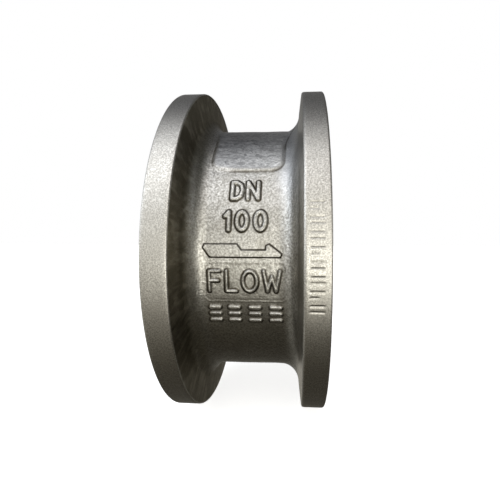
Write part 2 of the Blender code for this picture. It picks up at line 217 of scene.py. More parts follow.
def turned(outline, steps, closed=True, axis="X", centre=(0, 0, 0)):
    """A bmesh turned about X or Z from (along the axis, radius) points."""
    bm = bmesh.new()
    verts = [bm.verts.new((along, 0, radius)) for along, radius in outline]
    pairs = zip(verts, verts[1:] + verts[:1]) if closed else zip(verts, verts[1:])
    edges = [bm.edges.new(pair) for pair in pairs]
    bmesh.ops.spin(
        bm, geom=verts + edges, cent=(0, 0, 0), axis=(1, 0, 0), angle=math.tau, steps=steps, use_merge=True
    )
    if axis == "Z":
        bmesh.ops.rotate(bm, verts=bm.verts, cent=(0, 0, 0), matrix=Matrix.Rotation(-math.pi / 2, 3, "Y"))
    bmesh.ops.translate(bm, verts=bm.verts, vec=centre)
    return bm


def prism(outline, direction):
    """A bmesh from a flat outline, extruded along direction."""
    bm = bmesh.new()
    face = bm.faces.new([bm.verts.new(point) for point in outline])
    made = bmesh.ops.extrude_face_region(bm, geom=[face])
    moved = [item for item in made["geom"] if isinstance(item, bmesh.types.BMVert)]
    bmesh.ops.translate(bm, verts=moved, vec=direction)
    return bm


def apply_modifiers(obj):
    bpy.context.view_layer.update()
    graph = bpy.context.evaluated_depsgraph_get()
    finished = obj.evaluated_get(graph)
    mesh = bpy.data.meshes.new_from_object(finished, preserve_all_data_layers=True, depsgraph=graph)
    obj.modifiers.clear()
    obj.data = mesh
    return obj


def combine(obj, operation, bm, material_index=0):
    """Joins, cuts or intersects obj with a bmesh, whose faces take the material index."""
    tool = from_bmesh(obj.name + "_tool", bm, obj.data.materials, material_index=material_index)
    change = obj.modifiers.new(operation.title(), "BOOLEAN")
    change.operation = operation
    change.object = tool
    change.solver = "MANIFOLD"
    apply_modifiers(obj)
    bpy.data.objects.remove(tool)
    return obj


def round_edges(obj, width):
    """Rounds the edges sharper than 30 degrees, as a real machined or cast edge is."""
    bevel = obj.modifiers.new("Bevel", "BEVEL")
    bevel.width = width
    bevel.segments = 3
    bevel.limit_method = "ANGLE"
    bevel.angle_limit = math.radians(30)
    bevel.use_clamp_overlap = True
    return apply_modifiers(obj)


# ---- material helpers
class Nodes:
    """A short way to write the node tree of a material, in the object's own metres, or of a world."""

    def __init__(self, owner, coordinates="Object"):
        owner.use_nodes = True
        self.owner, self.tree = owner, owner.node_tree
        self.shader = self.tree.nodes.get("Principled BSDF")
        self.place = self.add("ShaderNodeTexCoord").outputs[coordinates]

    def add(self, kind, **settings):
        node = self.tree.nodes.new(kind)
        for key, value in settings.items():
            setattr(node, key, value)
        return node

    def link(self, source, target):
        self.tree.links.new(source, target)

    def put(self, value, socket):
        """Gives a socket a number, a colour or another node's output."""
        if isinstance(value, bpy.types.NodeSocket):
            self.link(value, socket)
        elif value is not None:
            socket.default_value = (*value, 1) if isinstance(value, tuple) else value

    def noise(self, size, detail, roughness=0.55, distortion=0.0, place=None):
        """Noise whose features are about size metres across."""
        node = self.add("ShaderNodeTexNoise")
        node.inputs["Scale"].default_value = 1 / size
        node.inputs["Detail"].default_value = detail
        node.inputs["Roughness"].default_value = roughness
        node.inputs["Distortion"].default_value = distortion
        self.link(place or self.place, node.inputs["Vector"])
        return node.outputs["Fac"]

    def spread(self, value, low, high, to_low=0.0, to_high=1.0, easing="SMOOTHSTEP"):
        """A value from low to high, eased over to_low to to_high."""
        node = self.add("ShaderNodeMapRange", interpolation_type=easing)
        for name, number in (("From Min", low), ("From Max", high), ("To Min", to_low), ("To Max", to_high)):
            node.inputs[name].default_value = number
        self.link(value, node.inputs["Value"])
        return node.outputs["Result"]

    def math(self, operation, first, second=None):
        node = self.add("ShaderNodeMath", operation=operation)
        for socket, value in zip(node.inputs, (first, second)):
            self.put(value, socket)
        return node.outputs["Value"]

    def mix(self, factor, first, second):
        """A colour between two colours, each a tuple or a socket."""
        node = self.add("ShaderNodeMix", data_type="RGBA")
        for number, value in ((0, factor), (6, first), (7, second)):
            self.put(value, node.inputs[number])
        return node.outputs[2]

    def axis(self, name):
        node = self.add("ShaderNodeSeparateXYZ")
        self.link(self.place, node.inputs[0])
        return node.outputs[name]

    def radial(self):
        """Distance from the bore's axis."""
        y, z = self.axis("Y"), self.axis("Z")
        return self.math("SQRT", self.math("ADD", self.math("MULTIPLY", y, y), self.math("MULTIPLY", z, z)))

    def bump(self, height, distance, strength, after=None):
        """A normal that tilts with height, on top of an earlier bump's if one is given."""
        node = self.add("ShaderNodeBump")
        node.inputs["Strength"].default_value = strength
        node.inputs["Distance"].default_value = distance
        self.put(height, node.inputs["Height"])
        self.put(after, node.inputs["Normal"])
        return node.outputs["Normal"]

    def finish(self, colour, metallic, roughness, normal=None):
        """Joins the colour, roughness and normal to the shader, and gives the material."""
        names = ("Base Color", "Metallic", "Roughness", "Normal")
        for name, value in zip(names, (colour, metallic, roughness, normal)):
            self.put(value, self.shader.inputs[name])
        return self.owner


def new_material(name):
    return Nodes(bpy.data.materials.new(name))


def plate_material():
    """Cast stainless after pickling: mottled, with a rough skin and darker stains."""
    n = new_material("cast_plate")
    stains = n.noise(22 * MM, 4, 0.6, 0.6)
    mottle = n.noise(2.4 * MM, 4, 0.65)
    colour = n.mix(n.spread(stains, 0.40, 0.66), (0.58, 0.57, 0.54), (0.5, 0.49, 0.46))
    colour = n.mix(n.spread(mottle, 0.46, 0.72, 0.0, 0.75), colour, (0.36, 0.35, 0.32))
    roughness = n.spread(n.noise(5 * MM, 4, 0.6), 0.3, 0.7, 0.34, 0.56)
    skin = n.bump(n.noise(0.9 * MM, 5, 0.6), 0.22 * MM, 0.55)
    skin = n.bump(n.noise(7 * MM, 2, 0.5), 0.8 * MM, 0.35, skin)
    return n.finish(colour, 1.0, roughness, skin)


def casting_material():
    """The casting skin: fine grained and clean on the neck, dull brown and streaked on the rims' sides, which
    are also darkened with painted shade.
    """
    n = new_material("casting_skin")
    radial = n.radial()
    grain = n.noise(0.9 * MM, 4, 0.65)
    clouds = n.noise(9 * MM, 4, 0.6)
    neck = n.mix(n.spread(grain, 0.36, 0.66), (0.31, 0.30, 0.275), (0.62, 0.61, 0.58))
    neck = n.mix(n.spread(clouds, 0.48, 0.72, 0.0, 0.45), neck, (0.32, 0.305, 0.27))
    # A painted bluish highlight lies on the outlet fillet's upper part.
    high_up = n.spread(n.axis("Z"), 12 * MM, 40 * MM, 0.0, 0.5)
    painted_fillet_highlight = n.math("MULTIPLY", n.spread(n.axis("X"), 12 * MM, 18 * MM), high_up)
    neck = n.mix(painted_fillet_highlight, neck, (0.74, 0.76, 0.79))
    turn = n.math("ARCTAN2", n.axis("Z"), n.axis("Y"))
    place = n.add("ShaderNodeCombineXYZ")
    n.link(n.math("MULTIPLY", turn, 60 * MM), place.inputs[0])
    n.link(n.math("MULTIPLY", radial, 0.22), place.inputs[1])
    n.link(n.axis("X"), place.inputs[2])
    streaks = n.noise(2.6 * MM, 4, 0.6, 0.4, place.outputs[0])
    # On the rims' sides the streaked skin is darker, partly as painted shade.
    side = n.mix(n.spread(streaks, 0.42, 0.68), (0.18, 0.167, 0.135), (0.385, 0.363, 0.31))
    side = n.mix(n.spread(clouds, 0.40, 0.70, 0.0, 0.5), side, (0.20, 0.187, 0.155))
    # The inlet rim's side gets more painted shade than the outlet's, and its painted shade reaches further
    # down the fillet.
    inlet_side = n.spread(n.axis("X"), 5 * MM, -5 * MM)
    reach = n.math("ADD", radial, n.math("MULTIPLY", inlet_side, 1.5 * MM))
    side_shade_weight = n.math("ADD", n.math("MULTIPLY", inlet_side, 0.5), 0.5)
    side_skin_and_shade = n.math("MULTIPLY", n.spread(reach, 68.5 * MM, 75 * MM), side_shade_weight)
    colour = n.mix(side_skin_and_shade, neck, side)
    # The same mask dims the reflections on the rims' sides, as painted shade.
    n.link(n.mix(side_skin_and_shade, (1.0, 1.0, 1.0), (0.55, 0.52, 0.47)), n.shader.inputs["Specular Tint"])
    dirt_and_shade = n.add("ShaderNodeAttribute", attribute_name="dirt_and_shade").outputs["Fac"]
    along = n.add("ShaderNodeVectorMath", operation="MULTIPLY")
    along.inputs[1].default_value = (0.45, 1.0, 0.8)
    n.link(n.place, along.inputs[0])
    scratches = n.spread(n.noise(1.9 * MM, 6, 0.78, 1.2, along.outputs[0]), 0.36, 0.66)
    dull = n.mix(scratches, (0.30, 0.30, 0.30), (0.72, 0.72, 0.71))
    bright = n.mix(scratches, (0.44, 0.44, 0.43), (0.92, 0.92, 0.90))
    # A painted highlight makes the ground pad lighter towards the outlet end.
    ground = n.mix(n.spread(n.axis("X"), -6 * MM, 15 * MM), dull, bright)
    colour = n.mix(n.spread(dirt_and_shade, 0.0, -0.9), colour, ground)
    # Painted shade, with some dirt, darkens the marks' feet and the pad's edge, patchily.
    patchy = n.spread(clouds, 0.30, 0.60, 0.65, 1.0)
    colour = n.mix(n.spread(n.math("MULTIPLY", dirt_and_shade, patchy), 0.0, 1.0), colour, (0.07, 0.06, 0.045))
    roughness = n.spread(grain, 0.3, 0.7, 0.40, 0.27)
    skin = n.bump(grain, 0.25 * MM, 0.6)
    skin = n.bump(n.noise(6 * MM, 2, 0.5), 0.7 * MM, 0.30, skin)
    return n.finish(colour, 1.0, roughness, skin)


def rim_material():
    """The turned rims after fine bead blasting: even, pale and sparkling."""
    n = new_material("blasted_rim")
    speck = n.noise(0.55 * MM, 3, 0.7)
    cloud = n.noise(14 * MM, 3, 0.55)
    colour = n.mix(n.spread(speck, 0.36, 0.66), (0.37, 0.357, 0.33), (0.71, 0.695, 0.657))
    colour = n.mix(n.spread(cloud, 0.42, 0.7, 0.0, 0.35), colour, (0.47, 0.455, 0.42))
    roughness = n.spread(speck, 0.3, 0.7, 0.42, 0.29)
    dirt_and_shade = n.add("ShaderNodeAttribute", attribute_name="dirt_and_shade").outputs["Fac"]
    # Painted shade darkens the punched strokes.
    colour = n.mix(dirt_and_shade, colour, (0.16, 0.15, 0.13))
    skin = n.bump(speck, 0.14 * MM, 0.6)
    return n.finish(colour, 1.0, roughness, skin)


def turned_face_material():
    """A gasket face, turned on a lathe: fine uneven rings, a few dull clouds and scuffs."""
    n = new_material("gasket_face")
    radial = n.radial()
    turn = n.math("ARCTAN2", n.axis("Z"), n.axis("Y"))
    place = n.add("ShaderNodeCombineXYZ")
    n.link(radial, place.inputs[0])
    n.link(n.math("MULTIPLY", turn, 1.2 * MM), place.inputs[1])
    rings = n.noise(1.8 * MM, 3, 0.6, 0.0, place.outputs[0])
    cloud = n.noise(16 * MM, 3, 0.5)
    scuff = n.noise(0.8 * MM, 4, 0.7)
    colour = n.mix(n.spread(rings, 0.3, 0.7), (0.53, 0.52, 0.495), (0.64, 0.63, 0.605))
    colour = n.mix(n.spread(cloud, 0.4, 0.7, 0.0, 0.4), colour, (0.52, 0.505, 0.475))
    colour = n.mix(n.spread(scuff, 0.60, 0.82, 0.0, 0.35), colour, (0.38, 0.365, 0.34))
    roughness = n.spread(rings, 0.3, 0.7, 0.26, 0.36)
    skin = n.bump(rings, 0.05 * MM, 0.4)
    skin = n.bump(scuff, 0.04 * MM, 0.3, skin)
    return n.finish(colour, 1.0, roughness, skin)


def machined_material(name, colour, axis, rough=(0.2, 0.34)):
    """Turned steel with fine tool marks that step along one axis."""
    n = new_material(name)
    marks = n.add("ShaderNodeMapping")
    marks.inputs["Scale"].default_value = [1.0 if letter == axis else 0.03 for letter in "XYZ"]
    n.link(n.place, marks.inputs["Vector"])
    lines = n.noise(0.25 * MM, 2, 0.5, 0.0, marks.outputs[0])
    cloud = n.noise(6 * MM, 4, 0.6)
    darker = tuple(0.72 * channel for channel in colour)
    shade = n.mix(n.spread(cloud, 0.45, 0.75), colour, darker)
    roughness = n.spread(lines, 0.3, 0.7, *rough)
    return n.finish(shade, 1.0, roughness, n.bump(lines, 0.03 * MM, 0.3))


def rubber_material():
    """Black elastomer with a little pale dust."""
    n = new_material("seal_elastomer")
    dust = n.noise(1.2 * MM, 4, 0.6)
    colour = n.mix(n.spread(dust, 0.5, 0.8, 0.0, 0.8), (0.016, 0.016, 0.017), (0.05, 0.049, 0.047))
    return n.finish(colour, 0.0, n.spread(dust, 0.3, 0.7, 0.5, 0.72), n.bump(dust, 0.08 * MM, 0.4))


def polymer_material():
    """Waxy white fluoropolymer, a little cloudy."""
    n = new_material("fluoropolymer")
    cloud = n.noise(3 * MM, 4, 0.6)
    colour = (0.78, 0.77, 0.73)
    darker = tuple(0.82 * channel for channel in colour)
    shade = n.mix(n.spread(cloud, 0.42, 0.75), colour, darker)
    return n.finish(shade, 0.0, n.spread(cloud, 0.3, 0.7, 0.32, 0.5), n.bump(cloud, 0.05 * MM, 0.3))


# ---- relief on the casting
def step_down(distance, inner, outer):
    """1 inside inner, 0 outside outer, smooth between."""
    share = np.clip((outer - distance) / (outer - inner), 0, 1)
    return share * share * (3 - 2 * share)


def segment_distance(x, s, start, end):
    dx, ds = end[0] - start[0], end[1] - start[1]
    share = np.clip(((x - start[0]) * dx + (s - start[1]) * ds) / (dx * dx + ds * ds), 0, 1)
    return np.hypot(x - start[0] - share * dx, s - start[1] - share * ds)


def stroke_distance(x, s, strokes):
    pairs = [pair for stroke in strokes for pair in zip(stroke, stroke[1:])]
    return np.min([segment_distance(x, s, a, b) for a, b in pairs], axis=0)


def word_strokes(word, centre_x, low, high, letter_gap, stretch):
    """The strokes of a word, set in the height from low to high and centred on centre_x."""
    height = high - low
    widths = [max(x for stroke in GLYPHS[c] for x, _ in stroke) * height * stretch for c in word]
    left = centre_x - (sum(widths) + letter_gap * (len(word) - 1)) / 2
    strokes = []
    for letter, width in zip(word, widths):
        for stroke in GLYPHS[letter]:
            strokes.append([(left + x * height * stretch, low + y * height) for x, y in stroke])
        left += width + letter_gap
    return strokes


def polygon_distance(x, s, corners):
    """Distance to a polygon's outline, negative inside."""
    closed = corners + corners[:1]
    away = stroke_distance(x, s, [closed])
    inside = np.zeros(x.shape, bool)
    for (x0, s0), (x1, s1) in zip(closed, closed[1:]):
        crosses = (s0 > s) != (s1 > s)
        with np.errstate(divide="ignore", invalid="ignore"):
            at = (x1 - x0) * (s - s0) / (s1 - s0) + x0
        inside ^= crosses & (x < at)
    return np.where(inside, -away, away)


def rounded_box_distance(x, s, centre, half_size, corner):
    dx = np.abs(x - centre[0]) - half_size[0] + corner
    ds = np.abs(s - centre[1]) - half_size[1] + corner
    outside = np.hypot(np.maximum(dx, 0), np.maximum(ds, 0))
    return outside + np.minimum(np.maximum(dx, ds), 0) - corner


def arrow_corners():
    """A broad tail cut slantwise, a step down to a slim shaft, and a one-sided head."""
    tail, tip, top, middle, bottom = -17 * MM, 16.7 * MM, 1.6 * MM, -0.9 * MM, -3.6 * MM
    return [
        (tail, top - 1.3 * MM),
        (tail + 0.6 * MM, top),
        (tail + 14.6 * MM, top),
        (tail + 16.4 * MM, middle),
        (tip - 6.5 * MM, middle),
        (tip - 6.4 * MM, top - 0.6 * MM),
        (tip - 5.2 * MM, top),
        (tip, bottom + 1.2 * MM),
        (tip - 0.5 * MM, bottom),
        (tail + 3.0 * MM, bottom),
    ]


def near_line(distance, line, half_width):
    """1 on the line at that distance, falling to 0 at half_width to either side."""
    return step_down(np.abs(distance - line), 0.2 * half_width, half_width)


def neck_marks(x, s):
    """The cast marks on the neck: their height, and the painted shade, with some dirt, at their feet."""
    words = [stroke for word in WORDS for stroke in word_strokes(*word)]
    slim = stroke_distance(x, s, word_strokes(*SLIM_WORD)) + SLIMMER
    letters = np.minimum(stroke_distance(x, s, words), slim)
    height = RELIEF * step_down(letters, STROKE_FLAT, STROKE_FOOT)
    dirt_and_shade = near_line(letters, STROKE_FOOT - 0.1 * MM, DIRT_AND_SHADE_HALF_WIDTH)
    arrow = polygon_distance(x, s, arrow_corners())
    height = np.maximum(height, RELIEF * step_down(arrow, -0.15 * MM, 0.5 * MM))
    dirt_and_shade = np.maximum(dirt_and_shade, near_line(arrow, 0.3 * MM, DIRT_AND_SHADE_HALF_WIDTH))
    # The insert that carried one line of marks left a faint outline.
    insert = rounded_box_distance(x, s, INSERT_CENTRE, INSERT_HALF_SIZE, INSERT_CORNER)
    height = height - 0.06 * MM * step_down(insert, -0.4 * MM, 0.4 * MM)
    height = height + 0.10 * MM * step_down(np.abs(insert), 0.1 * MM, 0.7 * MM)
    # A band of painted shade runs just inside the outline.
    dirt_and_shade = np.maximum(dirt_and_shade, 0.45 * near_line(insert, -0.7 * MM, 0.9 * MM))
    # Four groups of three short bars stand for the foundry's batch marks.
    for centre in BAR_CENTRES:
        for rise in BAR_RISES:
            bar = rounded_box_distance(x, s, (centre, rise), BAR_HALF_SIZE, BAR_CORNER)
            height = np.maximum(height, RELIEF * step_down(bar, -0.3 * MM, 0.45 * MM))
            dirt_and_shade = np.maximum(dirt_and_shade, 0.8 * near_line(bar, 0.45 * MM, DIRT_AND_SHADE_HALF_WIDTH))
    return height, dirt_and_shade


def pad_edge(x, turn):
    """Distance outside the low pad on top of the neck, round the two pins' plugs."""
    along = NECK_RADIUS * (turn - math.pi / 2)
    half = (PAD_HALF_WIDTH, NECK_RADIUS * PAD_HALF_ANGLE)
    # Towards its crown the pad widens and runs into the rims' fillets.
    narrowed = PAD_CENTRE_X + (x - PAD_CENTRE_X) * (1 - 0.22 * step_down(np.abs(along), 22 * MM, 52 * MM))
    return rounded_box_distance(narrowed, along, (PAD_CENTRE_X, 0.0), half, PAD_CORNER)


def rim_strokes(x, s):
    """A row of paired tally strokes punched into the outlet rim: 1 in a stroke."""
    strokes = []
    for place in range(PAIRS):
        level = FIRST_PAIR - place * PAIR_PITCH
        lower = level - PAIR_GAP
        strokes.append([(STROKE_START, level), (STROKE_END, level)])
        strokes.append([(STROKE_START, lower), (STROKE_END if place % 3 else SHORT_STROKE_END, lower)])
    return step_down(stroke_distance(x, s, strokes), 0.1 * MM, 0.42 * MM)


def unevenness(points):
    """The casting's slow waviness, so that its highlights aren't perfect."""
    heights = []
    for point in points:
        place = Vector(point)
        heights.append(sum(high * noise.noise(place * scale + Vector(shift)) for high, scale, shift in WAVES))
    return np.array(heights)


# ---- body
RIM, SKIN, FACE, BORE = range(4)


def arc(centre, radius, start, end, steps):
    """(x, r) points round an arc, angles in degrees, without its first point."""
    turns = [math.radians(start + (end - start) * step / steps) for step in range(1, steps + 1)]
    return [(centre[0] + radius * math.cos(turn), centre[1] + radius * math.sin(turn)) for turn in turns]


def line(start, end, step):
    """Points from start to end, about step apart, without the first."""
    count = max(1, round(math.dist(start, end) / step))
    shares = [number / count for number in range(1, count + 1)]
    return [(start[0] + (end[0] - start[0]) * t, start[1] + (end[1] - start[1]) * t) for t in shares]


def on_rim(r):
    return abs(r - OUTER_RADIUS) < SAME_RADIUS


def spool_stations():
    """The body's closed section: (x, r, zone of the surface that ends here, kept in the plain sector)."""
    rim_x = HALF_LENGTH - RIM_WIDTH
    fillet = (rim_x - FLANGE_DRAFT - NECK_FILLET, NECK_RADIUS + NECK_FILLET)
    stations = []

    def extend(points, zone, every=1):
        for number, (x, r) in enumerate(points, 1):
            stations.append((x, r, zone, number % every == 0 or number == len(points)))

    def rim_and_side(step, lip_round):
        """From the gasket face's edge over the rim down to the neck, as seen on the +X side."""
        corner = (HALF_LENGTH - EDGE_ROUND, OUTER_RADIUS - EDGE_ROUND)
        lip = (rim_x + lip_round, OUTER_RADIUS - lip_round)
        path = [((HALF_LENGTH, corner[1]), FACE)]
        path += [(point, RIM) for point in arc(corner, EDGE_ROUND, 0, 90, 4)]
        path += [(point, RIM) for point in line((corner[0], OUTER_RADIUS), (lip[0], OUTER_RADIUS), step)]
        path += [(point, RIM) for point in arc(lip, lip_round, 90, 180, 4)]
        start = (rim_x - FLANGE_DRAFT, fillet[1])
        path += [(point, SKIN) for point in line((rim_x, lip[1]), start, 1.4 * MM)]
        path += [(point, SKIN) for point in arc(fillet, NECK_FILLET, 0, -65, 10)]
        path += [(point, SKIN) for point in arc(fillet, NECK_FILLET, -65, -90, 11)]
        return path

    left = rim_and_side(1.5 * MM, INLET_LIP_ROUND)
    for (x, r), zone in left:
        stations.append((-x, r, zone, True))
    extend(line((-fillet[0], NECK_RADIUS), (fillet[0], NECK_RADIUS), NECK_STEP), SKIN, 3)
    right = rim_and_side(0.36 * MM, OUTLET_LIP_ROUND)
    zones = [zone for _, zone in right[1:]]
    points = [point for point, _ in right]
    for number in range(len(points) - 2, -1, -1):
        x, r = points[number]
        stations.append((x, r, zones[number], not on_rim(r) or number % 4 == 0))
    face_edge = OUTER_RADIUS - EDGE_ROUND
    extend(line((HALF_LENGTH, face_edge), (HALF_LENGTH, CAVITY_RADIUS + MOUTH_CHAMFER), 5 * MM), FACE)
    mouth = (HALF_LENGTH - MOUTH_CHAMFER, CAVITY_RADIUS)
    extend([mouth], FACE)
    extend(line(mouth, (SEAT_X, CAVITY_RADIUS), 4 * MM), SKIN)
    extend([(SEAT_X, PORT_RADIUS)], FACE)
    extend([(-HALF_LENGTH + MOUTH_CHAMFER, PORT_RADIUS)], BORE)
    inlet_edge = (-HALF_LENGTH, PORT_RADIUS + MOUTH_CHAMFER)
    extend([inlet_edge], FACE)
    extend(line(inlet_edge, (-HALF_LENGTH, face_edge), 5 * MM)[:-1], FACE)
    return stations


def relieved(x, r, turns):
    """One station's radii with its marks and pad, and its dirt and painted shade, which is negative on the
    ground pad.
    """
    radii, dirt_and_shade = np.full(turns.shape, r), np.zeros(turns.shape)
    xs = np.full(turns.shape, x)
    near_neck = step_down(r, NECK_RADIUS + 2 * MM, NECK_RADIUS + 7 * MM)
    if r > NECK_RADIUS - 0.1 * MM and near_neck > 0:
        height, dirt_and_shade = neck_marks(xs, NECK_RADIUS * turns)
        edge = pad_edge(xs, turns)
        radii = radii + height * near_neck
        # Towards the inlet the pad's edge is worn to a soft slope, with little painted shade and dirt at its
        # foot.
        inlet_end = step_down(x, -13 * MM, -4 * MM)
        slope = PAD_EDGE * (1 + 1.6 * inlet_end)
        radii = np.maximum(radii, NECK_RADIUS + PAD_HEIGHT * step_down(edge, -slope, 0.3 * MM))
        dirt_and_shade = np.maximum(dirt_and_shade, (0.72 - 0.62 * inlet_end) * near_line(edge, 0.1 * MM, 0.9 * MM))
        dirt_and_shade = near_neck * (dirt_and_shade - step_down(edge, -1.6 * MM - slope, -0.8 * MM))
    if on_rim(r) and x > 0:
        sunk = rim_strokes(xs, OUTER_RADIUS * turns)
        # The punched strokes are darkened inside with painted shade.
        radii, dirt_and_shade = radii - STROKE_DEPTH * sunk, 0.5 * sunk
    return radii, dirt_and_shade


def spool_mesh():
    """The body's outside and inside as one closed skin, finer over the marked front."""
    fine = np.arange(FINE_FROM, FINE_TO, FINE_STEP)
    coarse = np.arange(fine[-1] + COARSE_STEP, 360 + FINE_FROM - COARSE_STEP / 2, COARSE_STEP)
    turns = np.radians(np.concatenate([fine, coarse]))
    stations = spool_stations()
    bm = bmesh.new()
    grid = []
    dirt_and_shade_layer = bm.verts.layers.float.new("dirt_and_shade")
    for x, r, zone, kept in stations:
        columns = turns if kept else turns[: len(fine)]
        radii, dirt_and_shade = relieved(x, r, columns)
        places = np.stack([np.full(columns.shape, x), -radii * np.cos(columns), radii * np.sin(columns)], -1)
        if zone == SKIN and r < OUTER_RADIUS - 2 * MM:
            away = unevenness(places)
            places[:, 1] -= away * np.cos(columns)
            places[:, 2] += away * np.sin(columns)
        row = [bm.verts.new(place) for place in places]
        for vert, amount in zip(row, dirt_and_shade):
            vert[dirt_and_shade_layer] = amount
        grid.append(row)
    total = len(turns)
    edge_left, edge_right = len(fine) - 1, 0
    for row in range(len(stations)):
        after = (row + 1) % len(stations)
        for column in range(len(fine) - 1):
            corners = [grid[row][column], grid[row][column + 1], grid[after][column + 1], grid[after][column]]
            bm.faces.new(corners).material_index = stations[after][2]
    kept_rows = [row for row, station in enumerate(stations) if station[3]]
    for number, row in enumerate(kept_rows):
        after = kept_rows[(number + 1) % len(kept_rows)]
        between = list(range(row + 1, after if after > row else len(stations)))
        for column in range(edge_left, total):
            there = (column + 1) % total
            low = [grid[row][column]] + ([grid[k][column] for k in between] if column == edge_left else [])
            low.append(grid[after][column])
            high = [grid[after][there]]
            high += [grid[k][there] for k in reversed(between)] if there == edge_right else []
            high.append(grid[row][there])
            bm.faces.new(low + high).material_index = stations[after][2]
    bmesh.ops.recalc_face_normals(bm, faces=bm.faces)
    mesh = bpy.data.meshes.new("body_casting")
    bm.to_mesh(mesh)
    bm.free()
    return mesh


def seat_bar():
    """The upright bar across the port: rounded upstream, flat where the seal sits."""
    half, reach = BAR_HALF_WIDTH, BAR_REACH
    nose_x = SEAT_X - BAR_DEPTH + BAR_NOSE
    outline = [Vector((SEAT_X, half, -reach))]
    for step in range(25):
        turn = math.pi / 2 + math.pi * step / 24
        outline.append(Vector((nose_x + BAR_NOSE * math.cos(turn), half * math.sin(turn), -reach)))
    outline.append(Vector((SEAT_X, -half, -reach)))
    return prism(outline, Vector((0, 0, 2 * reach)))


def boss(radius, x, end):
    """A pin boss on the cavity wall, flared where it meets the wall."""
    face, edge, foot, wall = BOSS_FACE_Z, 0.4 * MM, 2.2 * MM, CAVITY_RADIUS + 2.5 * MM
    outline = [(face, 0), (face, radius - edge), (face + edge, radius), (face + 3.4 * MM, radius)]
    outline += [(56 * MM, radius + 0.25 * MM), (57 * MM, radius + 0.9 * MM), (58 * MM, radius + foot)]
    outline += [(wall, radius + foot), (wall, 0)]
    return turned([(end * z, r) for z, r in outline], 48, closed=False, axis="Z", centre=(x, 0, 0))


def pin_bore(x, end):
    """The plug's counterbore with a chamfered mouth, and the pin hole under it."""
    outline = [
        (BOSS_FACE_Z - 1 * MM, 0),
        (BOSS_FACE_Z - 1 * MM, PIN_RADIUS + SEAL_GAP),
        (PLUG_SEAT_Z, PIN_RADIUS + SEAL_GAP),
        (PLUG_SEAT_Z, PLUG_BORE_RADIUS),
        (PLUG_MOUTH_LOW, PLUG_BORE_RADIUS),
        (PLUG_MOUTH_HIGH, PLUG_BORE_RADIUS + PLUG_MOUTH_FLARE),
        (BEYOND_NECK, PLUG_BORE_RADIUS + PLUG_MOUTH_FLARE),
        (BEYOND_NECK, 0),
    ]
    return turned([(end * z, r) for z, r in outline], 56, closed=False, axis="Z", centre=(x, 0, 0))


def without_repeats(points):
    return list(dict.fromkeys(points))


def seal_ring(margin, proud, rounded=0.0):
    """The ring of the seat seal, or of its groove with a margin."""
    low, top = SEAL_LOW.x - margin, SEAT_X + proud
    inner, outer = SEAL_INNER - margin, SEAL_OUTER + margin
    outline = [(low, inner), (low, outer), (top - rounded, outer), (top, outer - rounded)]
    outline += [(top, inner + rounded), (top - rounded, inner)]
    return turned(without_repeats(outline), 128)


def seal_bar(margin, proud, rounded=0.0):
    """The upright bar across the seal's ring, or across its groove with a margin."""
    low, top = SEAL_LOW.x - margin, SEAT_X + proud
    width, reach = SEAL_BAR_HALF_WIDTH + margin, SEAL_BAR_REACH
    corners = [(low, -width), (top - rounded, -width), (top, -width + rounded)]
    corners += [(top, width - rounded), (top - rounded, width), (low, width)]
    start = [Vector((x, y, -reach)) for x, y in without_repeats(corners)]
    return prism(start, Vector((0, 0, 2 * reach)))


def make_body(skin, machined):
    body = new_object("body_casting", spool_mesh())
    for finish in (rim_material(), skin, turned_face_material(), machined):
        body.data.materials.append(finish)
    combine(body, "UNION", seat_bar(), SKIN)
    for end in (1, -1):
        combine(body, "UNION", boss(HUB_RADIUS, PIN_X, end), SKIN)
        combine(body, "UNION", boss(STOP_BOSS_RADIUS, STOP_X, end), SKIN)
    combine(body, "DIFFERENCE", seal_ring(SEAL_GAP, 2 * MM), BORE)
    combine(body, "DIFFERENCE", seal_bar(SEAL_GAP, 2 * MM), BORE)
    for end in (1, -1):
        for x in (PIN_X, STOP_X):
            combine(body, "DIFFERENCE", pin_bore(x, end), BORE)
    smooth(body, 38)
    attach(body, "valve_body")
    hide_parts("body")
    return body


def make_seal():
    proud = SEAL_HIGH.x - SEAT_X
    seal = from_bmesh("seat_seal_ring", seal_ring(0, proud, SEAL_ROUND), [rubber_material()])
    combine(seal, "UNION", seal_bar(0, proud, SEAL_ROUND))
    smooth(seal)
    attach(seal, "valve_body")
    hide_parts("seat_seal")


# ---- plates
def plate_slab():
    front = PLATE_FRONT_X - PIN_X - 1 * MM
    reach = PLATE_RADIUS + 4 * MM
    corners = [(PLATE_EDGE_Y, -reach), (reach, -reach), (reach, reach), (PLATE_EDGE_Y, reach)]
    return prism([Vector((front, y, z)) for y, z in corners], Vector((PLATE_BACK - front, 0, 0)))


def plate_envelope():
    front = PLATE_FRONT_X - PIN_X
    outline = [(front, 0), (front, PLATE_RADIUS - 0.6 * MM), (front + 0.6 * MM, PLATE_RADIUS)]
    outline += [(2 * HUB_RADIUS, PLATE_RADIUS), (2 * HUB_RADIUS, 0)]
    return turned(outline, 180, closed=False)


def lug(low, high):
    """A hinge lug and its rib, in hinge coordinates."""
    foot = PLATE_BACK - 1.6 * MM
    start = math.acos(RIB_TOP / HUB_RADIUS)
    outline = [
        Vector((foot, 2 * PLATE_EDGE_Y, low)),
        Vector((foot, RIB_FOOT_END, low)),
        Vector((PLATE_BACK, RIB_FOOT_END, low)),
        Vector((RIB_TOP, RIB_LAND_END, low)),
    ]
    for step in range(49):
        turn = start - (math.pi + start) * step / 48
        outline.append(Vector((HUB_RADIUS * math.cos(turn), HUB_RADIUS * math.sin(turn), low)))
    outline.append(Vector((-HUB_RADIUS, 2 * PLATE_EDGE_Y, low)))
    return prism(outline, Vector((0, 0, high - low)))


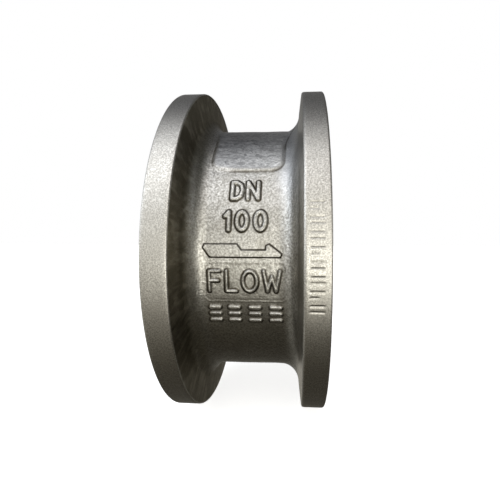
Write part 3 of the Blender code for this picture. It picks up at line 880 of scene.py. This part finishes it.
def make_plate(name, node, body, turn, cast, machined):
    """A half-disc plate, modelled for the +Y side and turned half round about X for the other."""
    plate = from_bmesh(name, plate_slab(), (cast, machined))
    for low, high in LUGS:
        combine(plate, "UNION", lug(low, high))
    combine(plate, "INTERSECT", plate_envelope())
    round_edges(plate, PLATE_EDGE_ROUND)
    end = LUG_BORE_REACH
    bore = [(-end, 0), (-end, LUG_BORE_RADIUS), (end, LUG_BORE_RADIUS), (end, 0)]
    combine(plate, "DIFFERENCE", turned(bore, 48, False, "Z"), 1)
    for face in plate.data.polygons:
        if face.normal.x < -0.9 and face.center.x < PLATE_FRONT_X - PIN_X + 0.1 * MM:
            face.material_index = 1
    smooth(plate, 40)
    place = Matrix.Translation((PIN_X, 0, 0)) @ Matrix.Rotation(turn, 4, "X")
    plate.data.transform(place)
    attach(plate, body)
    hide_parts(node)


# ---- pins, washers, plugs
def make_pins(finish):
    for name, x in (("hinge_pin", PIN_X), ("stop_pin", STOP_X)):
        end = PIN_HALF_LENGTH
        outline = [(-end, 0), (-end, PIN_RADIUS - PIN_EDGE), (-end + PIN_EDGE, PIN_RADIUS)]
        outline += [(-z, r) for z, r in reversed(outline)]
        pin = from_bmesh(name + "_turned", turned(outline, 48, False, "Z", (x, 0, 0)), [finish])
        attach(pin, "valve_body")
        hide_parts(name)


def ring_outline(low, high, inner, outer):
    """The section of a washer with all four edges broken."""
    edge = WASHER_EDGE
    return [
        (low, inner + edge), (low, outer - edge), (low + edge, outer), (high - edge, outer),
        (high, outer - edge), (high, inner + edge), (high - edge, inner), (low + edge, inner),
    ]


def make_rings(nodes, inner, finish):
    """Washers and gaskets, each as high and wide as its CAD node."""
    for node in nodes:
        low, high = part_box(node)
        centre = (low + high) / 2
        outline = ring_outline(low.z, high.z, inner, (high.x - low.x) / 2)
        ring = from_bmesh(node + "_ring", turned(outline, 56, True, "Z", (centre.x, 0, 0)), [finish], 60)
        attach(ring, "valve_body")
        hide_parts(node)


def make_plugs(nodes, finish, socket):
    """Plugs with a chamfered rim and a hexagon socket that ends in a drill point."""
    for node in nodes:
        low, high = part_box(node)
        x, end = (low.x + high.x) / 2, 1 if high.z > 0 else -1
        inside, outside = sorted((abs(low.z), abs(high.z)))
        radius, edge = (high.x - low.x) / 2, PLUG_EDGE
        outline = [(inside, 0), (inside, radius - edge), (inside + edge, radius)]
        outline += [(outside - edge, radius), (outside, radius - edge), (outside, 0)]
        shape = turned([(end * z, r) for z, r in outline], 56, False, "Z", (x, 0, 0))
        plug = from_bmesh(node + "_turned", shape, (finish, socket))
        top = outside + 2 * MM
        # The socket's faces take the second finish, whose dark colour is painted shade.
        for deep, deep_radius, shallow, mouth_radius, sides in SOCKET_CUTS:
            outline = [(outside - deep, 0), (outside - deep, deep_radius), (outside - shallow, mouth_radius)]
            outline += [(top, mouth_radius), (top, 0)]
            points = [(end * z, r) for z, r in outline]
            combine(plug, "DIFFERENCE", turned(points, sides, False, "Z", (x, 0, 0)), 1)
        smooth(plug, 20)
        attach(plug, "valve_body")
        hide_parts(node)


# ---- springs
def wire_mesh(name, points, finish):
    """A round wire along points, with closed ends."""
    bm = bmesh.new()
    rings = []
    across = Vector((0, 0, 1))
    for number, point in enumerate(points):
        before, after = points[max(0, number - 1)], points[min(len(points) - 1, number + 1)]
        ahead = (after - before).normalized()
        across = (across - ahead * across.dot(ahead)).normalized()
        up = ahead.cross(across)
        ring = []
        for side in range(WIRE_SIDES):
            turn = math.tau * side / WIRE_SIDES
            ring.append(bm.verts.new(point + WIRE_RADIUS * (math.cos(turn) * across + math.sin(turn) * up)))
        rings.append(ring)
    for ring, after in zip(rings, rings[1:]):
        for side in range(WIRE_SIDES):
            there = (side + 1) % WIRE_SIDES
            bm.faces.new([ring[side], ring[there], after[there], after[side]])
    bm.faces.new(list(reversed(rings[0])))
    bm.faces.new(rings[-1])
    return from_bmesh(name, bm, [finish], 50)


def spring_half(start_z, end_z, leg_side):
    """Half of one spring's coil from its middle at start_z to the leg at end_z, in hinge coordinates."""
    count = HALF_COIL_TURNS * STEPS_PER_TURN
    points = []
    for step in range(count + 1):
        share = step / count
        angle = math.pi - leg_side * math.tau * HALF_COIL_TURNS * (1 - share)
        height = start_z + (end_z - start_z) * share
        points.append(Vector((COIL_RADIUS * math.cos(angle), COIL_RADIUS * math.sin(angle), height)))
    tip = Vector((PLATE_BACK + WIRE_RADIUS + 0.3 * MM, leg_side * LEG_REACH, end_z))
    leave = points[-1]
    return points + [leave.lerp(tip, step / LEG_STEPS) for step in range(1, LEG_STEPS + 1)]


def make_springs(finish):
    """Each spring is made as two halves, one for each end."""
    for node, mirror in (("torsion_spring_upper", 1), ("torsion_spring_lower", -1)):
        low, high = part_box(node)
        inner, outer = sorted((abs(low.z), abs(high.z)))
        first, last = inner + WIRE_RADIUS, outer - WIRE_RADIUS
        middle = (first + last) / 2
        for label, end_z in (("outer", last), ("inner", first)):
            # The half turn about X that makes the lower spring also swaps its legs' sides.
            side = 1 if label == "outer" else -1
            points = spring_half(middle, end_z, side)
            turned_points = [Vector((p.x + PIN_X, mirror * p.y, mirror * p.z)) for p in points]
            wire = wire_mesh(f"{node}_{label}_half", turned_points, finish)
            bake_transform(wire)
            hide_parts(node)


# ---- stage
def make_stage():
    """A plain pale floor just under the rims. It glows a little, so that it stays near white."""
    n = new_material("pale_floor")
    pale = n.finish(n.mix(n.noise(0.4, 2), (0.82, 0.82, 0.82), (0.84, 0.84, 0.84)), 0.0, 0.8)
    n.shader.inputs["Emission Color"].default_value = (1, 1, 1, 1)
    n.shader.inputs["Emission Strength"].default_value = 0.8
    bm = bmesh.new()
    bmesh.ops.create_grid(bm, x_segments=1, y_segments=1, size=6)
    floor = from_bmesh("floor", bm, [pale])
    floor.location.z = -OUTER_RADIUS - 0.1 * MM
    floor.visible_glossy = False
    floor.visible_diffuse = False
    floor.visible_shadow = False


# The room's light round the object: degrees from straight in front, up past 90 to behind at 180.
ROOM_LEFT = (
    (-180, (1.90, 1.89, 1.84)),
    (-163, (0.90, 0.88, 0.81)),
    (-148, (0.14, 0.135, 0.115)),
    (-130, (0.06, 0.055, 0.045)),
    (-95, (0.035, 0.030, 0.020)),
    (-70, (0.06, 0.052, 0.035)),
    (-45, (0.18, 0.16, 0.125)),
    (-20, (0.53, 0.505, 0.44)),
    (5, (0.96, 0.94, 0.88)),
    (28, (0.88, 0.87, 0.85)),
    (47, (2.35, 2.37, 2.41)),
    (64, (2.20, 2.23, 2.30)),
    (82, (0.85, 0.87, 0.92)),
    (100, (0.12, 0.125, 0.14)),
    (130, (0.06, 0.06, 0.065)),
    (158, (0.20, 0.20, 0.197)),
    (180, (1.90, 1.89, 1.84)),
)
ROOM_RIGHT = (
    (-180, (0.12, 0.115, 0.10)),
    (-155, (0.07, 0.065, 0.055)),
    (-130, (0.055, 0.05, 0.04)),
    (-90, (0.030, 0.026, 0.018)),
    (-58, (0.05, 0.043, 0.030)),
    (-35, (0.14, 0.125, 0.095)),
    (-27, (2.75, 2.68, 2.37)),
    (-5, (3.10, 3.06, 2.86)),
    (10, (1.60, 1.56, 1.41)),
    (35, (1.10, 1.07, 1.02)),
    (52, (1.46, 1.42, 1.40)),
    (68, (1.18, 1.17, 1.17)),
    (84, (0.34, 0.345, 0.36)),
    (102, (0.08, 0.08, 0.085)),
    (155, (0.08, 0.08, 0.08)),
    (180, (0.12, 0.115, 0.10)),
)
FAR_LEFT = (
    (-180, (1.10, 1.10, 1.06)),
    (-130, (0.32, 0.31, 0.275)),
    (-60, (0.42, 0.41, 0.365)),
    (-28, (0.64, 0.62, 0.575)),
    (0, (1.55, 1.55, 1.50)),
    (28, (2.30, 2.43, 2.59)),
    (60, (1.75, 1.88, 2.03)),
    (95, (0.85, 0.89, 0.94)),
    (135, (0.32, 0.325, 0.33)),
    (180, (1.10, 1.10, 1.06)),
)
FAR_RIGHT = (
    (-180, (0.12, 0.115, 0.095)),
    (-145, (0.045, 0.040, 0.027)),
    (-60, (0.026, 0.021, 0.012)),
    (-30, (0.19, 0.18, 0.155)),
    (-4, (0.57, 0.56, 0.51)),
    (20, (0.25, 0.245, 0.22)),
    (48, (0.13, 0.128, 0.115)),
    (90, (0.05, 0.05, 0.045)),
    (150, (0.07, 0.068, 0.058)),
    (180, (0.12, 0.115, 0.095)),
)


def by_angle(n, angle, stops):
    """The light at an angle that runs from 0 to 1, from a table of degrees and colours."""
    node = n.add("ShaderNodeValToRGB")
    n.link(angle, node.inputs["Fac"])
    elements = node.color_ramp.elements
    while len(elements) < len(stops):
        elements.new(0.5)
    for element, (degrees, colour) in zip(elements, stops):
        element.position = (degrees + 180) / 360
        element.color = (*colour, 1)
    return node.outputs["Color"]


def make_world():
    """White behind the object; in its reflections, a room with broad lights all round."""
    world = bpy.data.worlds.new("studio")
    bpy.context.scene.world = world
    n = Nodes(world, "Generated")
    x, y, z = n.axis("X"), n.axis("Y"), n.axis("Z")
    turn = n.math("ARCTAN2", z, n.math("MULTIPLY", y, -1.0))
    angle = n.spread(turn, -math.pi, math.pi, easing="LINEAR")
    # Behind the object the room's right half starts further right.
    shift = n.math("MULTIPLY", n.spread(y, 0.0, 0.5), 0.12)
    right_half = n.spread(n.math("SUBTRACT", x, shift), -0.20, 0.07)
    room = n.mix(right_half, by_angle(n, angle, ROOM_LEFT), by_angle(n, angle, ROOM_RIGHT))
    room = n.mix(n.spread(x, -0.52, -0.76), room, by_angle(n, angle, FAR_LEFT))
    # Level with the object the right half also reaches further out.
    level = n.spread(n.math("ABSOLUTE", z), 0.6, 0.4)
    outer = n.math("SUBTRACT", n.math("ADD", x, shift), n.math("MULTIPLY", level, 0.2))
    room = n.mix(n.spread(outer, 0.26, 0.48), room, by_angle(n, angle, FAR_RIGHT))
    # A panel behind on the right, and one at each end, light the gasket faces.
    behind = n.math("MULTIPLY", n.spread(x, 0.5, 0.68), n.spread(y, 0.15, 0.45))
    ends = n.spread(n.math("ABSOLUTE", x), 0.95, 0.99)
    panels = n.math("MAXIMUM", n.math("MULTIPLY", behind, level), ends)
    reflected = n.add("ShaderNodeBackground")
    n.link(n.mix(panels, room, (0.95, 0.95, 0.93)), reflected.inputs["Color"])
    plain = n.add("ShaderNodeBackground")
    plain.inputs["Color"].default_value = (1, 1, 1, 1)
    seen = n.add("ShaderNodeLightPath").outputs["Is Camera Ray"]
    either = n.add("ShaderNodeMixShader")
    for socket, value in zip(either.inputs, (seen, reflected.outputs[0], plain.outputs[0])):
        n.link(value, socket)
    n.link(either.outputs[0], n.tree.nodes["World Output"].inputs["Surface"])


def make_light():
    """One overhead panel, aimed at the object, gives the floor its soft shadow; the room does the rest."""
    light = bpy.data.lights.new("overhead", "AREA")
    light.shape = "RECTANGLE"
    light.size, light.size_y = 0.7, 0.5
    light.energy = 3.0
    overhead = new_object("overhead", light)
    overhead.location = (0.1, -0.25, 1.1)
    overhead.rotation_euler = (-overhead.location).to_track_quat("-Z", "Y").to_euler()
    overhead.visible_glossy = False


def make_camera():
    """A near camera a little to the right of mid length, looking left and slightly down."""
    yaw, pitch, roll = -0.0665, -0.0332, 0.0040
    turn = Matrix.Rotation(roll, 3, "Y") @ Matrix.Rotation(pitch, 3, "X") @ Matrix.Rotation(yaw, 3, "Z")
    right, ahead, up = turn[0], turn[1], turn[2]
    camera = bpy.data.cameras.new("camera")
    camera.lens = 26.08
    camera.sensor_width = 36.0
    camera.shift_x = -0.0438
    camera.shift_y = -0.0436
    camera.clip_start = 0.01
    place = Matrix.Translation((22.87 * MM, -220.4 * MM, 3.5 * MM))
    obj = new_object("camera", camera)
    obj.matrix_world = place @ Matrix((right, up, -ahead)).transposed().to_4x4()
    bpy.context.scene.camera = obj


def main():
    make_camera()
    make_stage()
    make_world()
    make_light()
    bpy.context.scene.view_settings.view_transform = "Standard"

    machined = machined_material("machined_steel", (0.62, 0.61, 0.59), "X")
    pin_steel = machined_material("turned_pin", (0.64, 0.63, 0.61), "Z", (0.16, 0.3))
    # The sockets' dark colour is painted shade inside the recess.
    shaded_socket_steel = machined_material("broached_socket_painted_shade", (0.24, 0.235, 0.22), "X", (0.4, 0.55))
    plate_cast = plate_material()
    wire = machined_material("spring_wire", (0.78, 0.78, 0.77), "Z", (0.14, 0.26))
    fluoropolymer = polymer_material()

    make_body(casting_material(), machined)
    make_seal()
    make_plate("plate_rear_cast", "plate_rear", "rear_plate", 0, plate_cast, machined)
    make_plate("plate_front_cast", "plate_front", "front_plate", math.pi, plate_cast, machined)
    make_pins(pin_steel)
    nodes = sorted(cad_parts)
    make_rings([n for n in nodes if "_bearing_" in n], WASHER_BORE_RADIUS, fluoropolymer)
    make_rings([n for n in nodes if "_gasket_" in n], GASKET_BORE_RADIUS, fluoropolymer)
    make_plugs([n for n in nodes if "_plug_" in n and "gasket" not in n], pin_steel, shaded_socket_steel)
    make_springs(wire)


main()
